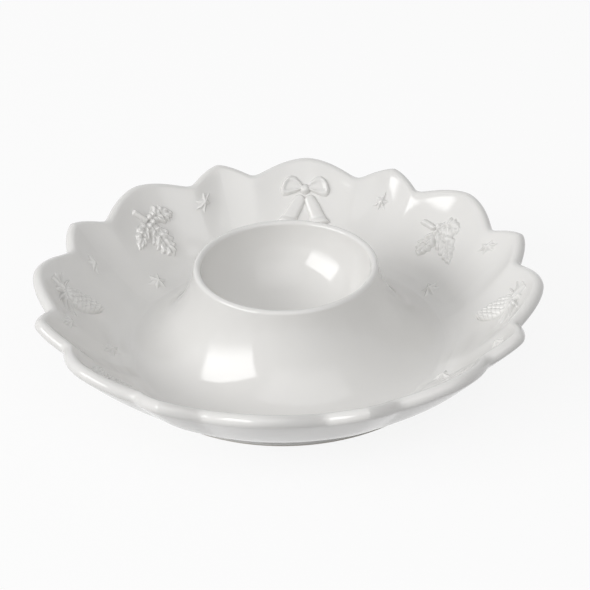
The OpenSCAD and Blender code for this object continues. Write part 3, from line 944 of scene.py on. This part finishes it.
def blend(tree, share, first, second):
    """(1 - share) first + share second, for two colours."""
    inputs = {0: share, 6: first, 7: second}
    return add_node(tree, "ShaderNodeMix", inputs, data_type="RGBA").outputs[2]


def blend_value(tree, share, first, second):
    """(1 - share) first + share second, for two numbers."""
    return add_node(tree, "ShaderNodeMix", {0: share, 2: first, 3: second}).outputs[0]


def grey(level):
    """A colour with the same red, green and blue."""
    return level, level, level, 1


print("a middle grey is written", grey(0.5))

# %% A node group for everything that varies over the glaze
warm_white, cool_white = (0.815, 0.805, 0.785, 1), (0.84, 0.832, 0.815, 1)
# the grey is the painted shade that the relief's recesses are darkened towards; the brown is real specks
painted_shade_grey, speck_brown = (0.56, 0.56, 0.545, 1), (0.3, 0.27, 0.23, 1)
cloud_scale, ripple_scale, fine_scale, speck_scale = 60.0, 210.0, 1500.0, 190.0
speck_rarity, speck_size, speck_strength, speck_dent = 0.93, (0.014, 0.03), 0.5, -0.25
# the last value is how far the deepest recess goes towards the painted shade grey
ripple_rough, glaze_rough, painted_shade_strength = 0.35, (0.045, 0.075), 0.7
GLAZE_INPUTS = {"Position": "NodeSocketVector", "Painted Shade": "NodeSocketFloat"}
GLAZE_OUTPUTS = {"Color": "NodeSocketColor", "Roughness": "NodeSocketFloat",
                 "Height": "NodeSocketFloat"}


def glaze_group():
    """Colour with painted shade in the relief's recesses, roughness and height of the glaze, from a
    position in metres and the share of painted shade.
    """
    tree = bpy.data.node_groups.new("fired_glaze", "ShaderNodeTree")
    for direction, sockets in (("INPUT", GLAZE_INPUTS), ("OUTPUT", GLAZE_OUTPUTS)):
        for name, kind in sockets.items():
            tree.interface.new_socket(name, in_out=direction, socket_type=kind)
    given, result = tree.nodes.new("NodeGroupInput"), tree.nodes.new("NodeGroupOutput")
    place = given.outputs["Position"]
    cells = add_node(tree, "ShaderNodeTexVoronoi", {"Vector": place, "Scale": speck_scale})
    pick = add_node(tree, "ShaderNodeSeparateColor", {0: cells.outputs["Color"]}).outputs[0]
    rare = calculate(tree, "GREATER_THAN", pick, speck_rarity)
    dot = ramp(tree, cells.outputs["Distance"], speck_size, (1.0, 0.0))
    speck = calculate(tree, "MULTIPLY", rare, dot)
    tone = blend(tree, noise(tree, place, cloud_scale, 3.0), warm_white, cool_white)
    # painted shade: the recesses are blended towards a grey
    shade_amount = calculate(tree, "MULTIPLY", given.outputs["Painted Shade"], painted_shade_strength)
    shaded_tone = blend(tree, shade_amount, tone, painted_shade_grey)
    colour = blend(tree, calculate(tree, "MULTIPLY", speck, speck_strength), shaded_tone, speck_brown)
    rough = ramp(tree, noise(tree, place, fine_scale, 2.0), (0.0, 1.0), glaze_rough)
    ripple = noise(tree, place, ripple_scale, 1.0, Roughness=ripple_rough)
    height = calculate(tree, "MULTIPLY_ADD", speck, speck_dent, ripple)
    for name, socket in zip(GLAZE_OUTPUTS, (colour, rough, height)):
        tree.links.new(socket, result.inputs[name])
    return tree


fired_glaze = glaze_group()
print("glaze group:", len(fired_glaze.nodes), "nodes")

# %% [markdown]
# The foot stands on bare clay. The glaze is wiped off its lowest half millimetre before
# the firing, so there the surface is matt, a little browner and grained like fine sand.

# %% The two materials
clay_brown, clay_pale = (0.62, 0.575, 0.5, 1), (0.76, 0.72, 0.655, 1)
clay_rough, grain_scale = 0.8, 3200.0
wipe_height, wipe_blur, wipe_wander, wander_scale = 0.0006, 0.0001, 0.0003, 240.0
bump_height, glaze_ior = 0.00003, 1.57


def ware_material(name, bare_below=None):
    """Glaze all over, or glaze that gives way to bare clay below a height in metres."""
    material = bpy.data.materials.new(name)
    material.use_nodes = True
    tree = material.node_tree
    shader = tree.nodes["Principled BSDF"]
    place = add_node(tree, "ShaderNodeTexCoord").outputs["Object"]
    # the share of painted shade, worked out from the height fields
    painted_shade = add_node(tree, "ShaderNodeAttribute", attribute_name="painted_shade").outputs["Fac"]
    glass = add_node(tree, "ShaderNodeGroup", node_tree=fired_glaze)
    tree.links.new(place, glass.inputs["Position"])
    tree.links.new(painted_shade, glass.inputs["Painted Shade"])
    colour, rough, height = (glass.outputs[output] for output in GLAZE_OUTPUTS)
    if bare_below:
        z = add_node(tree, "ShaderNodeSeparateXYZ", {0: place}).outputs[2]
        wander = noise(tree, place, wander_scale, 2.0)
        line = calculate(tree, "MULTIPLY_ADD", wander, wipe_wander, z)
        bare = ramp(tree, line, (bare_below, bare_below + wipe_blur), (1.0, 0.0))
        grain = noise(tree, place, grain_scale, 3.0)
        colour = blend(tree, bare, colour, blend(tree, grain, clay_brown, clay_pale))
        rough = blend_value(tree, bare, rough, clay_rough)
        height = blend_value(tree, bare, height, grain)
    bump = add_node(tree, "ShaderNodeBump", {"Height": height, "Distance": bump_height, "Strength": 1.0})
    tree.links.new(colour, shader.inputs["Base Color"])
    tree.links.new(rough, shader.inputs["Roughness"])
    tree.links.new(bump.outputs[0], shader.inputs["Normal"])
    shader.inputs["IOR"].default_value = glaze_ior
    return material


glaze = ware_material("white_glaze")
glazed_foot = ware_material("wiped_foot", bare_below=wipe_height)
for piece in stands_for.values():
    piece.data.materials.append(glazed_foot if piece is foot else glaze)
print("materials:", glaze.name, "and", glazed_foot.name)

# %% [markdown]
# ## Camera
#
# The photograph's camera stands about 57 cm away and looks down by 31 degrees. The lens
# comes from the picture's width in pixels and the sensor's 36 mm.

# %% Place the camera
target = Vector((2.134, -0.044, 17.975)) * MM
distance, elevation = 0.57309, math.radians(31.178)
azimuth, roll = math.radians(5.767), math.radians(1.535)
picture_px, focal_px, sensor = 590, 2252, 36.0

level = math.cos(elevation)
back = Vector((math.sin(azimuth) * level, -math.cos(azimuth) * level, math.sin(elevation)))
right = Vector((math.cos(azimuth), math.sin(azimuth), 0))
up = back.cross(right)
right, up = (right * math.cos(roll) - up * math.sin(roll),
             right * math.sin(roll) + up * math.cos(roll))
camera = bpy.data.objects.new("camera", bpy.data.cameras.new("camera"))
camera.data.lens, camera.data.sensor_width = focal_px * sensor / picture_px, sensor
facing = Matrix((right, up, back)).transposed().to_4x4()
camera.matrix_world = Matrix.Translation(target + back * distance) @ facing
bpy.context.scene.collection.objects.link(camera)
bpy.context.scene.camera = camera
print(f"camera lens {camera.data.lens:.1f} mm")

# %% [markdown]
# ## Floor and light
#
# White ware on a white table: a pale floor that keeps the shadow, a dim sky, and two
# large soft lamps whose shapes show in the glaze. The floor and the sky are white only
# for rays that meet them straight from the camera, off a glossy surface or through a
# clear one. Other rays find them dimmer, so the background is white without more light
# on the ware.

# %% Floor
table_size, bounce_grey, seen_grey, glow_share = 6, 0.55, 0.95, 0.88


def seen_directly(tree):
    """1 for a ray from the camera or sent on by a glossy or clear surface, otherwise 0."""
    path = add_node(tree, "ShaderNodeLightPath").outputs
    mirrored = calculate(tree, "MAXIMUM", path["Is Glossy Ray"], path["Is Transmission Ray"])
    return calculate(tree, "MAXIMUM", path["Is Camera Ray"], mirrored)


def stage_material():
    """Diffuse white with a glow of strength 1 where it is seen or mirrored, otherwise grey."""
    material = bpy.data.materials.new("white_table")
    material.use_nodes = True
    tree = material.node_tree
    tree.nodes.remove(tree.nodes["Principled BSDF"])
    seen = seen_directly(tree)
    tint = blend(tree, seen, grey(bounce_grey), grey(seen_grey))
    cloth = add_node(tree, "ShaderNodeBsdfDiffuse", {"Color": tint}).outputs[0]
    glow = add_node(tree, "ShaderNodeEmission", {"Color": grey(1), "Strength": 1.0}).outputs[0]
    share = calculate(tree, "MULTIPLY", seen, glow_share)
    mix = add_node(tree, "ShaderNodeMixShader", {0: share, 1: cloth, 2: glow}).outputs[0]
    tree.links.new(mix, tree.nodes["Material Output"].inputs["Surface"])
    return material


bpy.ops.mesh.primitive_plane_add(size=table_size, location=(0, 0, 0))
floor = bpy.context.object
floor.name = "table"
floor.data.materials.append(stage_material())
print("table", table_size, "m square")

# %% Softboxes
soft_edge = 0.07
lamp_aim = Vector((0, 0, 0.015))


def feather(light, low_edge):
    """Strength that falls to nothing over a share of the cloth at each edge, as in a softbox."""
    light.use_nodes = True
    tree = light.node_tree
    cloth = add_node(tree, "ShaderNodeNewGeometry").outputs["Parametric"]
    across = add_node(tree, "ShaderNodeSeparateXYZ", {0: cloth}).outputs
    strength = 1.0
    edges = ((0, 0, 2 * soft_edge), (0, 1, 1 - soft_edge), (1, 0, low_edge), (1, 1, 1 - soft_edge))
    for axis, start, end in edges:
        near = ramp(tree, across[axis], (start, end), interpolation_type="SMOOTHSTEP")
        strength = calculate(tree, "MULTIPLY", near, strength)
    tree.links.new(strength, tree.nodes["Emission"].inputs["Strength"])


def softbox(name, azimuth, elevation, distance, width, height, power, low_edge=0.3):
    """A softbox at an azimuth from +Y towards +X and a height angle; sides 2 d tan(angle / 2)."""
    a, e = math.radians(azimuth), math.radians(elevation)
    place = distance * Vector((math.sin(a) * math.cos(e), math.cos(a) * math.cos(e), math.sin(e)))
    light = bpy.data.lights.new(name, "AREA")
    light.shape, light.energy = "RECTANGLE", power
    light.size, light.size_y = (2 * distance * math.tan(math.radians(angle / 2))
                                for angle in (width, height))
    feather(light, low_edge)
    lamp = bpy.data.objects.new(name, light)
    lamp.location = place
    lamp.rotation_euler = (lamp_aim - place).to_track_quat("-Z", "Y").to_euler()
    bpy.context.scene.collection.objects.link(lamp)
    print(f"{name}: {light.size:.2f} by {light.size_y:.2f} m, {power} W")


softbox("front_left_window", -124, 26, 1.2, 50, 34, 11.8, 0.5)
softbox("front_fill", 158, 52, 1.4, 60, 44, 4.5)

# %% Sky
sky_strength, sky_shown = 0.41, 1.0
world = bpy.data.worlds.new("sky")
world.use_nodes = True
bpy.context.scene.world = world
tree = world.node_tree
brightness = blend_value(tree, seen_directly(tree), sky_strength, sky_shown)
tree.links.new(brightness, tree.nodes["Background"].inputs["Strength"])
tree.nodes["Background"].inputs["Color"].default_value = grey(1)
bpy.context.scene.view_settings.view_transform = "Standard"
print("sky of strength", sky_strength, "that shows as", sky_shown)
